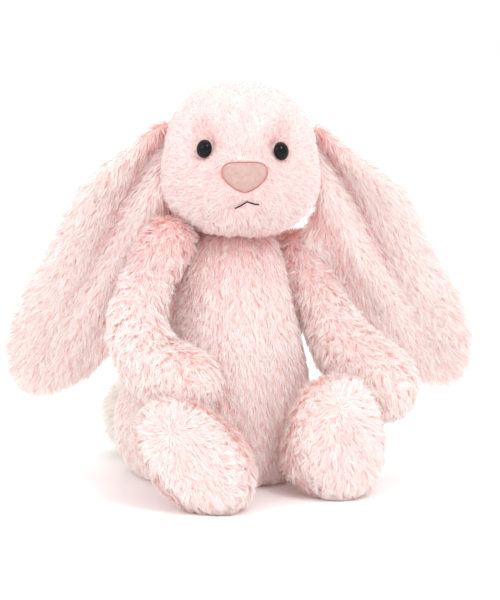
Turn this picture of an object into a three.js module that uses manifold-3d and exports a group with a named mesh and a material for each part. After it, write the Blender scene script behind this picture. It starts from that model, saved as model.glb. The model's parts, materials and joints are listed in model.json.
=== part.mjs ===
// Stuffed bunny rabbit with lop ears, sitting. Millimetres, +Z up.
// The face looks along -Y, and the torso is turned under it, towards +X.
// Left and right are the rabbit's own: its right arm is on the -X side.
import * as THREE from 'three';
import { mergeVertices } from 'three/addons/utils/BufferGeometryUtils.js';
import Module from 'manifold-3d';

const wasm = await Module();
wasm.setup();

const { Vector3 } = THREE;
const radians = THREE.MathUtils.degToRad;
const UP = new Vector3(0, 0, 1);
const FORWARD = new Vector3(0, -1, 0);

// Driving dimensions -----------------------------------------------------------------------

const FABRIC = 1.6; // plush backing with its pressed pile roots
const GAP = 0.4; // between pieces that touch, and between two panels of one seam
const SEAT = new Vector3(1, 0, 0); // where the torso's axis meets the ground
const TORSO_TURN = radians(34);
const NECK_HEIGHT = 126;
const HEAD_CENTRE = new Vector3(3, -6, 159);
const HEAD_TURN = radians(3.5);
const HEAD_TILT = radians(1.8);
const HEAD = { halfWidth: 38.5, top: 42.5, bottom: 31, front: 36, back: 38, power: 2.3 };
const EAR_LENGTH = 154;
const EAR_LAYER = 1.8; // one layer of ear fabric

const COLOURS = {
  pink: 0xf8dedb,
  belly: 0xf5d3cf,
  lining: 0xf4c4c0,
  cream: 0xf6f0e4,
  nose: 0xe7bdb1,
  noseEdge: 0xd99990,
  black: 0x0c0b0c,
  thread: 0x3c3638,
  pinkThread: 0xeeb5b0,
  stuffing: 0xf7f6f3,
  pellets: 0xdedbd2,
  plastic: 0xe9e6e0,
  ribbon: 0xfafafa,
};

// Solids -------------------------------------------------------------------------------------

// A closed geometry from points and faces, turned so that its faces point out.
function closed(points, faces) {
  let volume = 0;
  const cross = new Vector3();
  for (let i = 0; i < faces.length; i += 3) {
    cross.crossVectors(points[faces[i + 1]], points[faces[i + 2]]);
    volume += points[faces[i]].dot(cross);
  }
  if (volume < 0) faces.reverse();
  const geometry = new THREE.BufferGeometry().setFromPoints(points);
  geometry.setIndex(faces);
  geometry.computeVertexNormals();
  return geometry;
}

// A skin over rings of equal length, closed at both ends to the middle of the end ring.
function loft(rings) {
  const sides = rings[0].length;
  const points = rings.flat();
  const faces = [];
  for (let r = 0; r + 1 < rings.length; r++) {
    for (let s = 0; s < sides; s++) {
      const a = r * sides + s;
      const b = r * sides + ((s + 1) % sides);
      faces.push(a, b, b + sides, a, b + sides, a + sides);
    }
  }
  const middle = (ring) => ring.reduce((sum, p) => sum.add(p), new Vector3()).divideScalar(sides);
  const last = (rings.length - 1) * sides;
  const first = points.push(middle(rings[0])) - 1;
  const end = points.push(middle(rings[rings.length - 1])) - 1;
  for (let s = 0; s < sides; s++) {
    const next = (s + 1) % sides;
    faces.push(first, next, s, end, last + s, last + next);
  }
  return closed(points, faces);
}

// One ring of points on a superellipse round centre.
function oval(centre, across, along, halfAcross, halfAlong, sides, power = 2) {
  const ring = [];
  for (let s = 0; s < sides; s++) {
    const angle = (2 * Math.PI * s) / sides;
    ring.push(centre.clone()
      .addScaledVector(across, halfAcross * rounded(Math.cos(angle), power))
      .addScaledVector(along, halfAlong * rounded(Math.sin(angle), power)));
  }
  return ring;
}

// A cosine or sine of an ellipse, made into that of a superellipse.
function rounded(value, power) {
  return Math.sign(value) * Math.abs(value) ** (2 / power);
}

// A thin closed plate between two grids of points of the same size.
function plate(front, back) {
  const rows = front.length;
  const columns = front[0].length;
  const points = [...front.flat(), ...back.flat()];
  const other = rows * columns;
  const at = (row, column) => row * columns + column;
  const faces = [];
  const quad = (a, b, c, d) => faces.push(a, b, c, a, c, d);
  for (let r = 0; r + 1 < rows; r++) {
    for (let c = 0; c + 1 < columns; c++) {
      const corners = [at(r, c), at(r, c + 1), at(r + 1, c + 1), at(r + 1, c)];
      quad(...corners);
      quad(...corners.map((corner) => corner + other).reverse());
    }
  }
  const rim = [];
  for (let c = 0; c + 1 < columns; c++) rim.push(at(0, c));
  for (let r = 0; r + 1 < rows; r++) rim.push(at(r, columns - 1));
  for (let c = columns - 1; c > 0; c--) rim.push(at(rows - 1, c));
  for (let r = rows - 1; r > 0; r--) rim.push(at(r, 0));
  rim.forEach((a, i) => {
    const b = rim[(i + 1) % rim.length];
    quad(b, a, a + other, b + other);
  });
  return closed(points, faces);
}

function solid(geometry) {
  const bare = geometry.clone();
  bare.deleteAttribute('normal');
  bare.deleteAttribute('uv');
  const merged = mergeVertices(bare);
  return new wasm.Manifold(new wasm.Mesh({
    numProp: 3,
    vertProperties: merged.attributes.position.array,
    triVerts: new Uint32Array(merged.index.array),
  }));
}

function geometryOf(manifold) {
  const mesh = manifold.getMesh();
  const geometry = new THREE.BufferGeometry();
  geometry.setAttribute('position', new THREE.BufferAttribute(mesh.vertProperties, 3));
  geometry.setIndex(new THREE.BufferAttribute(mesh.triVerts, 1));
  geometry.computeVertexNormals();
  return geometry;
}

// The block of space on the side of a plane that the normal points to, half a gap off it.
function beyond(point, normal) {
  const reach = 500;
  const block = new THREE.BoxGeometry(reach, reach, reach);
  block.translate(0, 0, reach / 2 + GAP / 2);
  block.applyQuaternion(new THREE.Quaternion().setFromUnitVectors(UP, normal.clone().normalize()));
  block.translate(point.x, point.y, point.z);
  return solid(block);
}

// A turned piece whose axis starts at point and runs along direction.
function turned(profile, point, direction, segments) {
  const geometry = new THREE.LatheGeometry(profile.map(([r, h]) => new THREE.Vector2(r, h)), segments);
  geometry.applyQuaternion(
    new THREE.Quaternion().setFromUnitVectors(new Vector3(0, 1, 0), direction.clone().normalize()));
  geometry.translate(point.x, point.y, point.z);
  return geometry;
}

// A round thread through points.
function thread(points, radius, steps) {
  const section = new THREE.Shape();
  section.absarc(0, 0, radius, 0, 2 * Math.PI);
  return new THREE.ExtrudeGeometry(section, {
    curveSegments: 3,
    steps,
    extrudePath: new THREE.CatmullRomCurve3(points, false, 'centripetal'),
  });
}

function part(name, geometry, colour, roughness = 0.95) {
  const shape = geometry.isBufferGeometry ? geometry : geometryOf(geometry);
  const mesh = new THREE.Mesh(
    shape, new THREE.MeshStandardMaterial({ color: colour, roughness, metalness: 0 }));
  mesh.name = name;
  return mesh;
}

// The two halves of a shell on either side of a seam plane.
function halves(shell, point, normal) {
  return [
    shell.intersect(beyond(point, normal)),
    shell.intersect(beyond(point, normal.clone().negate())),
  ];
}

// Torso --------------------------------------------------------------------------------------

// Height, backward shift, half width and half depth, from the flat seat to the neck.
const TORSO_RINGS = [
  [0, 18, 36, 40],
  [6, 20, 43, 47.5],
  [18, 21, 46, 51],
  [36, 20, 46, 50.5],
  [56, 14, 41.5, 44],
  [76, 8, 34.5, 36.5],
  [94, 4, 28.5, 30],
  [110, 1, 23.5, 24.5],
  [120, 0, 19, 19.5],
  [NECK_HEIGHT, 0, 10, 10.5],
];

function torsoSkin(inset) {
  const right = new Vector3(1, 0, 0);
  const back = new Vector3(0, 1, 0);
  const lowest = TORSO_RINGS[0][0];
  return loft(TORSO_RINGS.map(([height, shift, halfWidth, halfDepth]) => {
    const raised = height === lowest ? inset : 0;
    const lowered = height === NECK_HEIGHT ? inset : 0;
    const centre = new Vector3(0, shift, height + raised - lowered);
    return oval(centre, right, back, halfWidth - inset, halfDepth - inset, 18, 2.1);
  }));
}

function torso() {
  const group = new THREE.Group();
  group.position.copy(SEAT);
  group.rotation.z = TORSO_TURN;
  const shell = solid(torsoSkin(0)).subtract(solid(torsoSkin(FABRIC)));
  const middle = new Vector3(0, 14, 0);
  const [left, right] = halves(shell, middle, new Vector3(1, 0, 0));
  const [leftFront, leftBack] = halves(left, middle, FORWARD);
  const [rightFront, rightBack] = halves(right, middle, FORWARD);
  const bagTop = 30;
  const inside = solid(torsoSkin(FABRIC + GAP));
  group.add(
    part('torso_front_left_panel', leftFront, COLOURS.belly),
    part('torso_back_left_panel', leftBack, COLOURS.pink),
    part('torso_front_right_panel', rightFront, COLOURS.belly),
    part('torso_back_right_panel', rightBack, COLOURS.pink),
    part('torso_filling', inside.intersect(beyond(new Vector3(0, 0, bagTop), UP)), COLOURS.stuffing),
    part('pellet_bag', inside.intersect(beyond(new Vector3(0, 0, bagTop), UP.clone().negate())),
      COLOURS.pellets),
    part('closing_stitch', closingStitch(), COLOURS.pinkThread),
    part('care_label', careLabel(), COLOURS.ribbon),
  );
  return group;
}

// The back of the torso at a height, between its rings.
function torsoBack(height) {
  const upper = TORSO_RINGS.findIndex((ring) => ring[0] >= height);
  const [h0, s0, , d0] = TORSO_RINGS[upper - 1];
  const [h1, s1, , d1] = TORSO_RINGS[upper];
  const k = (height - h0) / (h1 - h0);
  return THREE.MathUtils.lerp(s0 + d0, s1 + d1, k);
}

// The ladder stitch that closes the back seam after filling, as a zigzag over the seam.
function closingStitch() {
  const points = [];
  const radius = 0.45;
  const stitches = 8;
  for (let i = 0; i <= stitches; i++) {
    const height = THREE.MathUtils.lerp(64, 100, i / stitches);
    const side = i % 2 ? 1.4 : -1.4;
    points.push(new Vector3(side, torsoBack(height) + radius + GAP + 0.2, height));
  }
  return thread(points, radius, stitches * 2);
}

// A blank folded ribbon sewn into the seat seam beside the tail.
function careLabel() {
  const [width, thickness, length] = [15, 0.8, 20];
  const ribbon = new THREE.BoxGeometry(width, thickness, length);
  ribbon.rotateX(radians(-18));
  ribbon.translate(27, torsoBack(16) - 4.5, 14.5);
  return solid(ribbon).subtract(solid(torsoSkin(-GAP)));
}

// The thread drawn tight round the neck.
function neckThread() {
  const [ring, radius] = [12.5, 0.7];
  const profile = [];
  const sides = 6;
  for (let i = 0; i <= sides; i++) {
    const angle = (2 * Math.PI * (i % sides)) / sides;
    profile.push([ring + radius * Math.cos(angle), radius * Math.sin(angle)]);
  }
  return turned(profile, new Vector3(SEAT.x, SEAT.y, NECK_HEIGHT), UP, 18);
}

// Tail ---------------------------------------------------------------------------------------

function ball(centre, radius) {
  const geometry = new THREE.SphereGeometry(radius, 16, 10);
  geometry.translate(centre.x, centre.y, centre.z);
  return geometry;
}

function tail() {
  const group = new THREE.Group();
  group.position.copy(SEAT);
  group.rotation.z = TORSO_TURN;
  const height = 27;
  const radius = 17;
  const centre = new Vector3(0, torsoBack(height) + 10, height);
  const clear = solid(torsoSkin(-GAP));
  const cover = solid(ball(centre, radius)).subtract(clear);
  const core = solid(ball(centre, radius - FABRIC));
  const pocket = core.subtract(solid(torsoSkin(-GAP - FABRIC)));
  const mouth = solid(turned([[0, 0], [4, 0], [4, 20], [0, 20]],
    new Vector3(0, torsoBack(height) - 10, height), new Vector3(0, 1, 0), 12));
  const filling = solid(ball(centre, radius - FABRIC - GAP))
    .subtract(solid(torsoSkin(-2 * GAP - FABRIC)));
  group.add(
    part('tail_cover', cover.subtract(pocket).subtract(mouth), COLOURS.cream),
    part('tail_filling', filling, COLOURS.stuffing),
  );
  return group;
}

// Head ---------------------------------------------------------------------------------------

const MUZZLE = { reach: 7.5, height: -1, tall: 17, wide: 21 };

// How far the muzzle stands out of the face at a place across and up.
function muzzle(x, z) {
  return MUZZLE.reach * Math.exp(-(((z - MUZZLE.height) / MUZZLE.tall) ** 2) - ((x / MUZZLE.wide) ** 2));
}

function headRing(climb, inset, sides) {
  const tall = (climb > 0 ? HEAD.top : HEAD.bottom) - inset;
  const z = tall * rounded(Math.sin(climb), HEAD.power);
  const reach = rounded(Math.cos(climb), HEAD.power);
  const ring = [];
  for (let s = 0; s < sides; s++) {
    const angle = (2 * Math.PI * s) / sides;
    const x = (HEAD.halfWidth - inset) * reach * rounded(Math.cos(angle), HEAD.power);
    const depth = (Math.sin(angle) < 0 ? HEAD.front : HEAD.back) - inset;
    const y = depth * reach * rounded(Math.sin(angle), HEAD.power);
    ring.push(new Vector3(x, Math.sin(angle) < 0 ? y - muzzle(x, z) * Math.min(1, reach * 1.5) : y, z));
  }
  return ring;
}

function headSkin(inset) {
  const steps = 13;
  const rings = [];
  for (let i = 1; i < steps; i++) {
    rings.push(headRing(-Math.PI / 2 + (Math.PI * i) / steps, inset, 24));
  }
  return loft(rings);
}

// The face's surface at a place across and up.
function facePoint(x, z) {
  const tall = z > 0 ? HEAD.top : HEAD.bottom;
  const reach = (1 - Math.abs(z / tall) ** HEAD.power) ** (1 / HEAD.power);
  const across = Math.abs(x / (HEAD.halfWidth * reach)) ** HEAD.power;
  const depth = HEAD.front * reach * (1 - across) ** (1 / HEAD.power);
  return new Vector3(x, -depth - muzzle(x, z) * Math.min(1, reach * 1.5), z);
}

// The direction out of the face at a place across and up.
function faceNormal(x, z) {
  const step = 0.5;
  const here = facePoint(x, z);
  const across = facePoint(x + step, z).sub(here);
  const up = facePoint(x, z + step).sub(here);
  return across.cross(up).normalize();
}

const EYE = { acrossLeft: 18, acrossRight: 19.6, height: 14, radius: 4.1 };

// Dome on the outside, shank through the face.
const EYE_PROFILE = [[0, -9], [1.4, -9], [1.4, 0], [EYE.radius, 0], [EYE.radius, 0.6],
  [3.6, 2], [2.4, 3], [0, 3.5]];

// A snap washer that grips the shank inside the face.
const WASHER_PROFILE = [[1.9, 0], [5.4, 0], [5.4, 1.1], [3, 1.6], [1.9, 1.6], [1.9, 0]];

// A rounded shield, wide at the top, in the plane of the face.
function noseOutline(grow) {
  const [top, bottom] = [9.8 + grow, -4.6 - grow];
  const brow = [10.4 + grow, 7.4 + grow / 2];
  const side = [11.6 + grow, 4.6];
  const cheek = [8.4 + grow, 1.6 - grow / 2];
  const outline = new THREE.Shape();
  outline.moveTo(0, top);
  outline.quadraticCurveTo(8.4, top, ...brow);
  outline.quadraticCurveTo(...side, ...cheek);
  outline.quadraticCurveTo(4 + grow, bottom, 0, bottom);
  outline.quadraticCurveTo(-4 - grow, bottom, -cheek[0], cheek[1]);
  outline.quadraticCurveTo(-side[0], side[1], -brow[0], brow[1]);
  outline.quadraticCurveTo(-8.4, top, 0, top);
  return outline;
}

// An outline in the plane of the face, drawn out forwards into a block.
function forwardBlock(outline) {
  const block = new THREE.ExtrudeGeometry(outline, { depth: 40, bevelEnabled: false, curveSegments: 5 });
  block.rotateX(Math.PI / 2);
  block.translate(0, -20, 0);
  return solid(block);
}

// What a block cuts out of the front of the face between two distances from its skin.
function onFace(block, near, far) {
  return block.intersect(solid(headSkin(-far))).subtract(solid(headSkin(-near)));
}

function mouth() {
  const radius = 0.5;
  const ends = [[-6.2, -13.8], [-3, -12.2], [0.3, -10], [3.2, -11.3], [6, -12.4]];
  const points = ends.map(([x, z]) =>
    facePoint(x, z).addScaledVector(faceNormal(x, z), radius + GAP * 2));
  return solid(thread(points, radius, 16)).subtract(solid(headSkin(-GAP)));
}

function eyePieces(across) {
  const out = faceNormal(across, EYE.height);
  const skin = facePoint(across, EYE.height);
  const inward = out.clone().negate();
  const hole = [[0, -8], [1.4 + GAP, -8], [1.4 + GAP, 8], [0, 8]];
  const pocket = [[0, -4], [5.8 + GAP, -4], [5.8 + GAP, 4.8], [1.4 + GAP, 4.8], [1.4 + GAP, 11], [0, 11]];
  return {
    eye: turned(EYE_PROFILE, skin.clone().addScaledVector(out, 0.6), out, 14),
    washer: turned(WASHER_PROFILE, skin.clone().addScaledVector(inward, FABRIC + 1), inward, 12),
    hole: solid(turned(hole, skin, out, 8)),
    pocket: solid(turned(pocket, skin, inward, 12)),
  };
}

function head() {
  const group = new THREE.Group();
  group.position.copy(HEAD_CENTRE);
  group.rotation.set(0, HEAD_TILT, HEAD_TURN);
  const eyes = { left: eyePieces(EYE.acrossLeft), right: eyePieces(-EYE.acrossRight) };
  const shell = solid(headSkin(0)).subtract(solid(headSkin(FABRIC)))
    .subtract(eyes.left.hole).subtract(eyes.right.hole);
  const filling = solid(headSkin(FABRIC + GAP)).subtract(eyes.left.pocket).subtract(eyes.right.pocket);
  const gussetHalfWidth = 12;
  const gussetEdge = new Vector3(0, -40, 2); // the gusset runs from the nose over the crown to the nape
  const gussetBelow = new Vector3(0, 0.18, 1);
  const [above, below] = halves(shell, gussetEdge, gussetBelow);
  const right = new Vector3(-1, 0, 0);
  const left = new Vector3(1, 0, 0);
  const leftEdge = left.clone().multiplyScalar(gussetHalfWidth);
  const rightEdge = right.clone().multiplyScalar(gussetHalfWidth);
  const gusset = above.intersect(beyond(leftEdge, right)).intersect(beyond(rightEdge, left));
  const cheek = (edge, side) => {
    const cut = beyond(edge, side).add(beyond(gussetEdge, gussetBelow.clone().negate()));
    return shell.intersect(cut.intersect(beyond(new Vector3(), side)));
  };
  const nose = forwardBlock(noseOutline(0));
  const noseEdge = forwardBlock(noseOutline(GAP + 1)).subtract(forwardBlock(noseOutline(GAP)));
  group.add(
    part('head_gusset', gusset, COLOURS.pink),
    part('head_left_panel', cheek(leftEdge, left), COLOURS.pink),
    part('head_right_panel', cheek(rightEdge, right), COLOURS.pink),
    part('head_filling', filling, COLOURS.stuffing),
    part('nose_patch', onFace(nose, GAP, 2.2), COLOURS.nose, 0.8),
    part('nose_edge_stitch', onFace(noseEdge, GAP, 2.2), COLOURS.noseEdge),
    part('mouth_stitch', mouth(), COLOURS.thread, 0.7),
  );
  for (const [side, pieces] of Object.entries(eyes)) {
    group.add(part(`eye_${side}`, pieces.eye, COLOURS.black, 0.08));
    group.add(part(`eye_washer_${side}`, pieces.washer, COLOURS.plastic, 0.5));
  }
  group.add(ear('left', 1, radians(32.5)), ear('right', -1, radians(26)));
  return group;
}

// Ears ---------------------------------------------------------------------------------------

const EAR_ROOT = new Vector3(39.3, 4, 18); // on the side of the head, from the head's centre
const EAR_BACK_LEAN = { right: radians(12), left: radians(22) };

// Distance down the ear, and how far it reaches from its middle line: outwards and towards the head.
const EAR_WIDTHS = [
  [0, 6, 2.2],
  [12, 10, 3],
  [26, 13.5, 10],
  [42, 17.5, 21.5],
  [62, 20.5, 27.5],
  [88, 22.5, 28.5],
  [112, 23, 28],
  [132, 20.5, 24],
  [147, 13, 14],
  [EAR_LENGTH, 4.5, 5],
];

// The ear's middle surface: down its length, and from -1 at the inner edge to 1 at the outer edge.
function earPoint(down, outward, inward, across) {
  const width = across > 0 ? outward : inward;
  const cup = 8 * Math.exp(-((down / 50) ** 2)); // the root is pinched, so its edges come forward
  const sag = -3 * Math.sin((Math.PI * down) / EAR_LENGTH);
  return new Vector3(width * across, sag - cup * Math.abs(across) ** 1.6 * (width / 20), -down);
}

function earLayer(side, near, far) {
  const columns = 6;
  const grid = (offset) => EAR_WIDTHS.map(([down, outward, inward]) => {
    const row = [];
    for (let c = 0; c <= columns; c++) {
      const across = -1 + (2 * c) / columns;
      const here = earPoint(down, outward, inward, across);
      const beside = earPoint(down, outward, inward, across + 0.02);
      const along = earPoint(down + 0.5, outward, inward, across);
      const out = beside.sub(here).cross(along.sub(here)).normalize();
      here.addScaledVector(out, offset);
      row.push(new Vector3(side * here.x, here.y, here.z));
    }
    return row;
  });
  return plate(grid(near), grid(far));
}

function ear(name, side, splay) {
  const group = new THREE.Group();
  group.position.set(side * EAR_ROOT.x, EAR_ROOT.y, EAR_ROOT.z);
  group.rotation.set(EAR_BACK_LEAN[name], -side * splay, 0, 'YXZ');
  group.add(
    part(`ear_${name}_lining`, earLayer(side, GAP / 2, GAP / 2 + EAR_LAYER), COLOURS.lining),
    part(`ear_${name}_back`, earLayer(side, -GAP / 2, -GAP / 2 - EAR_LAYER), COLOURS.pink),
  );
  return group;
}

// Limbs --------------------------------------------------------------------------------------

// Rings of a tube whose ends are domes, from stations of [centre, half across, half along].
function limbRings(stations, inset, sides, reference) {
  const curve = new THREE.CatmullRomCurve3(stations.map((station) => station.centre));
  const rings = [];
  const ring = (at, shift, scale) => {
    const place = at * (stations.length - 1);
    const first = Math.min(Math.floor(place), stations.length - 2);
    const k = place - first;
    const half = (key) => THREE.MathUtils.lerp(stations[first][key], stations[first + 1][key], k) - inset;
    const tangent = curve.getTangent(at);
    const across = new Vector3().crossVectors(reference, tangent).normalize();
    const along = new Vector3().crossVectors(tangent, across).normalize();
    const reach = Math.min(half('across'), half('along'));
    const centre = curve.getPoint(at).addScaledVector(tangent, shift * reach);
    rings.push(oval(centre, across, along, half('across') * scale, half('along') * scale, sides, 2.1));
  };
  const dome = [74, 38].map(radians);
  dome.forEach((angle) => ring(0, -Math.sin(angle), Math.cos(angle)));
  const steps = stations.length + 2;
  for (let i = 0; i <= steps; i++) ring(i / steps, 0, 1);
  dome.reverse().forEach((angle) => ring(1, Math.sin(angle), Math.cos(angle)));
  return rings;
}

// Places of the arms' middle lines, from the shoulder, with the half thickness there.
const SHOULDERS = {
  right: new Vector3(-32, -21, 126),
  left: new Vector3(30, 20.5, 115),
};
const ARMS = {
  right: [[0, 0, 0, 12.5], [-11, -3, -20, 13], [-15.5, -8, -40, 13.5], [-9, -17, -58, 14], [8, -25, -66.5, 14]],
  left: [[0, 0, 0, 12], [9.5, -5, -17, 12.6], [24.5, -14, -44, 13.6], [45, -25, -65, 14.5]],
};

function limbStations(rows) {
  return rows.map(([x, y, z, half]) => ({ centre: new Vector3(x, y, z), across: half, along: half }));
}

function arm(side) {
  const group = new THREE.Group();
  group.position.copy(SHOULDERS[side]);
  const stations = limbStations(ARMS[side]);
  const reference = new Vector3(0, 1, 0.2).normalize();
  const skin = (inset) => solid(loft(limbRings(stations, inset, 12, reference)));
  const [hand, middle] = [stations[stations.length - 1].centre, stations[2].centre];
  const seam = new Vector3().crossVectors(middle, hand).normalize();
  const [one, other] = halves(skin(0).subtract(skin(FABRIC)), middle.clone().multiplyScalar(0.5), seam);
  group.add(
    part(`arm_${side}_${side === 'right' ? 'inner' : 'outer'}_panel`, one, COLOURS.pink),
    part(`arm_${side}_${side === 'right' ? 'outer' : 'inner'}_panel`, other, COLOURS.pink),
    part(`arm_${side}_filling`, skin(FABRIC + GAP), COLOURS.stuffing),
  );
  return group;
}

const HIPS = {
  right: new Vector3(-13, -49, 21),
  left: new Vector3(49.5, -13, 21),
};

// A foot: the middle of its sole from the hip, the way the sole faces, and the way its toe points.
const FEET = {
  right: { sole: new Vector3(-7.5, -32, 6.6), facing: new Vector3(-0.12, -1, 0.1), toe: new Vector3(-1, 0, 1) },
  left: { sole: new Vector3(9.5, -30, 10), facing: new Vector3(0.62, -0.72, 0.28), toe: new Vector3(0.1, 0.1, 1) },
};
const FOOT = { halfLength: 31.5, halfWidth: 19.5, heel: 13, thickness: 22, leg: 12 };

// Rings from the domed hip to the sole. The leg meets the foot on its heel side.
function legRings(foot, inset, sides) {
  const facing = foot.facing.clone().normalize();
  const toe = foot.toe.clone().addScaledVector(facing, -foot.toe.dot(facing)).normalize();
  const across = new Vector3().crossVectors(toe, facing).normalize();
  const heel = foot.sole.clone().addScaledVector(facing, -FOOT.thickness).addScaledVector(toe, -FOOT.heel);
  const leg = heel.clone().normalize();
  const legAlong = toe.clone().addScaledVector(leg, -toe.dot(leg)).normalize();
  const legAcross = new Vector3().crossVectors(legAlong, leg).normalize();
  const round = FOOT.leg - inset;
  const rings = [74, 38].map(radians).map((angle) =>
    oval(leg.clone().multiplyScalar(-round * Math.sin(angle)), legAcross, legAlong,
      round * Math.cos(angle), round * Math.cos(angle), sides));
  rings.push(oval(new Vector3(), legAcross, legAlong, round, round, sides));
  // From the ankle to the sole: how far behind the sole, how much of the heel shift, length and width.
  const shapes = [[1, 0.75, 0.62, 0.86], [0.72, 0.34, 0.86, 0.95], [0.42, 0.06, 0.985, 1], [0.2, 0, 0.985, 0.98],
    [0.07, 0, 0.93, 0.9], [0, 0, 0.8, 0.72]];
  for (const [behind, shift, longer, wider] of shapes) {
    const centre = foot.sole.clone()
      .addScaledVector(facing, -FOOT.thickness * behind - (behind === 0 ? inset : 0))
      .addScaledVector(toe, -FOOT.heel * shift);
    rings.push(oval(centre, across, toe, FOOT.halfWidth * wider - inset, FOOT.halfLength * longer - inset, sides));
  }
  return rings;
}

// Presses rings flat where they would reach below the ground.
function pressed(rings, ground) {
  rings.flat().forEach((point) => {
    point.z = Math.max(point.z, ground);
  });
  return rings;
}

function leg(side) {
  const group = new THREE.Group();
  group.position.copy(HIPS[side]);
  const foot = FEET[side];
  const skin = (inset) => solid(loft(pressed(legRings(foot, inset, 14), inset - HIPS[side].z)));
  const facing = foot.facing.clone().normalize();
  const soleEdge = foot.sole.clone().addScaledVector(facing, -FOOT.thickness * 0.17);
  const [sole, upper] = halves(skin(0).subtract(skin(FABRIC)), soleEdge, facing);
  const seam = new Vector3().crossVectors(foot.toe, foot.sole).normalize();
  const [one, other] = halves(upper, foot.sole.clone().multiplyScalar(0.5), seam);
  const outward = side === 'left' ? seam.x > 0 : seam.x < 0;
  group.add(
    part(`leg_${side}_${outward ? 'outer' : 'inner'}_panel`, one, COLOURS.pink),
    part(`leg_${side}_${outward ? 'inner' : 'outer'}_panel`, other, COLOURS.pink),
    part(`foot_${side}_sole`, sole, COLOURS.pink),
    part(`leg_${side}_filling`, skin(FABRIC + 2 * GAP).intersect(skin(FABRIC)), COLOURS.stuffing),
  );
  return group;
}

// The whole rabbit -----------------------------------------------------------------------------

const rabbit = new THREE.Group();
rabbit.add(
  torso(), tail(), head(), arm('left'), arm('right'), leg('left'), leg('right'),
  part('neck_thread', neckThread(), COLOURS.pinkThread));

// The origin is the middle of the bottom of the whole rabbit's box.
const box = new THREE.Box3().setFromObject(rabbit, true);
const middle = box.getCenter(new Vector3());
rabbit.position.set(-middle.x, -middle.y, -box.min.z);

export default rabbit;
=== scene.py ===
import json
import math

import bmesh
import bpy
import numpy as np
from mathutils import Matrix, Vector
from mathutils.bvhtree import BVHTree
from mathutils.kdtree import KDTree

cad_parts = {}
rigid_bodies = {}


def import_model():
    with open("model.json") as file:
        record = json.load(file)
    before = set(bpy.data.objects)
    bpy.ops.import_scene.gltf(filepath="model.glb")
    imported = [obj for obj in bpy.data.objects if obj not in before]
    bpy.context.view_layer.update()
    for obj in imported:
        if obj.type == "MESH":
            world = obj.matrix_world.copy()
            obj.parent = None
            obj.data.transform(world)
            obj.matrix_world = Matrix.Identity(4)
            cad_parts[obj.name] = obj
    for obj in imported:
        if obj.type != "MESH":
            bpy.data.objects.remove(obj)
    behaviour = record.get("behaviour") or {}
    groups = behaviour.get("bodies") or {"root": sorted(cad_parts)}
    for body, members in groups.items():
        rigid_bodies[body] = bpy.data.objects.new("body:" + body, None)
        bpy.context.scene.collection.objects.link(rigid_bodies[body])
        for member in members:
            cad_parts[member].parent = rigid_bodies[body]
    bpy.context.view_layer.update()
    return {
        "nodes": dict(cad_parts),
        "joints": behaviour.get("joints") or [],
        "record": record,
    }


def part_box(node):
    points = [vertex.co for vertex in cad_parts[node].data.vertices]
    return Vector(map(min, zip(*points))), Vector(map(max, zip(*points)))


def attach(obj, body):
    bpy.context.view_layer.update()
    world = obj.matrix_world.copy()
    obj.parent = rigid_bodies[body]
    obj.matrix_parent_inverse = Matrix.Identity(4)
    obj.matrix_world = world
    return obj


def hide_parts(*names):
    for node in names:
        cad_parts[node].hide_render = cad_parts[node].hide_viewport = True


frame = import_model()
NODES = frame["nodes"]
JOINTS = {joint["name"]: joint for joint in frame["joints"]}
UP = np.array([0.0, 0.0, 1.0])


# ---------------------------------------------------------------- materials


def linear(red, green, blue):
    """An sRGB colour, 0 to 255, as linear RGBA."""
    channels = [value / 255 for value in (red, green, blue)]
    return [c / 12.92 if c <= 0.04045 else ((c + 0.055) / 1.055) ** 2.4 for c in channels] + [1]


def plain(name, colour, roughness, **values):
    """A Principled material with nothing linked. Extra values go straight on its sockets."""
    material = bpy.data.materials.new(name)
    material.use_nodes = True
    shader = material.node_tree.nodes["Principled BSDF"]
    shader.inputs["Base Color"].default_value = linear(*colour)
    shader.inputs["Roughness"].default_value = roughness
    for socket, value in values.items():
        shader.inputs[socket.replace("_", " ")].default_value = value
    return material


def textured(name, dark, light, roughness, scale, bump, stretch=(1, 1, 1), depth=0.0003, **values):
    """A Principled material whose colour wanders between two tints, with a fine relief."""
    material = plain(name, light, roughness, **values)
    tree = material.node_tree
    shader = tree.nodes["Principled BSDF"]
    place = tree.nodes.new("ShaderNodeTexCoord")
    mapping = tree.nodes.new("ShaderNodeMapping")
    mapping.inputs["Scale"].default_value = stretch
    tree.links.new(place.outputs["Object"], mapping.inputs["Vector"])
    wander = tree.nodes.new("ShaderNodeTexNoise")
    wander.inputs["Scale"].default_value = scale
    wander.inputs["Detail"].default_value = 5
    ramp = tree.nodes.new("ShaderNodeValToRGB")
    ramp.color_ramp.elements[0].position = 0.32
    ramp.color_ramp.elements[0].color = linear(*dark)
    ramp.color_ramp.elements[1].position = 0.68
    ramp.color_ramp.elements[1].color = linear(*light)
    relief = tree.nodes.new("ShaderNodeTexNoise")
    relief.inputs["Scale"].default_value = bump
    relief.inputs["Detail"].default_value = 3
    raised = tree.nodes.new("ShaderNodeBump")
    raised.inputs["Strength"].default_value = 0.6
    raised.inputs["Distance"].default_value = depth
    tree.links.new(mapping.outputs["Vector"], wander.inputs["Vector"])
    tree.links.new(mapping.outputs["Vector"], relief.inputs["Vector"])
    tree.links.new(wander.outputs["Fac"], ramp.inputs["Fac"])
    tree.links.new(ramp.outputs["Color"], shader.inputs["Base Color"])
    tree.links.new(relief.outputs["Fac"], raised.inputs["Height"])
    tree.links.new(raised.outputs["Normal"], shader.inputs["Normal"])
    return material


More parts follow.
